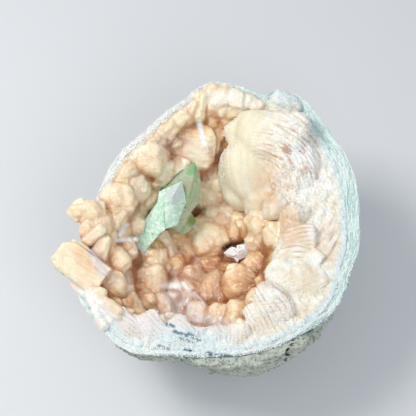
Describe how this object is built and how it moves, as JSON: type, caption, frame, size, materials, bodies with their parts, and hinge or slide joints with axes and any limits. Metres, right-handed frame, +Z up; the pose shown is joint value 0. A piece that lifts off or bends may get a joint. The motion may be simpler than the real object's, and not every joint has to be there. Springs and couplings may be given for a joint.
{
  "type": "apophyllite and stilbite vug specimen",
  "caption": "Half of a basalt vug lined with rounded peach stilbite bundles, holding a green apophyllite cluster, with a pale chalcedony rind round its broken rim.",
  "frame": {"origin": "on the flat patch that the basalt rests on, under the middle of the hollow", "axes": "+Z up out of the open hollow, +X to the right and -Y to the front as one looks down into the hollow"},
  "size_m": [0.1688, 0.1659, 0.1063],
  "materials": {
    "basalt": "dull, grainy, pitted",
    "chalcedony": "waxy, finely sugary",
    "stilbite_wall": "broken, fibrous, pearly",
    "stilbite_crust": "pearly, translucent",
    "apophyllite": "glassy, partly frosted",
    "quartz": "glassy, milky"
  },
  "bodies": {
    "root": {"basalt_matrix": "basalt", "chalcedony_rind": "chalcedony", "stilbite_wall": "stilbite_wall", "stilbite_crust": "stilbite_crust", "apophyllite_cluster": "apophyllite", "quartz_cluster": "quartz"}
  },
  "joints": []
}
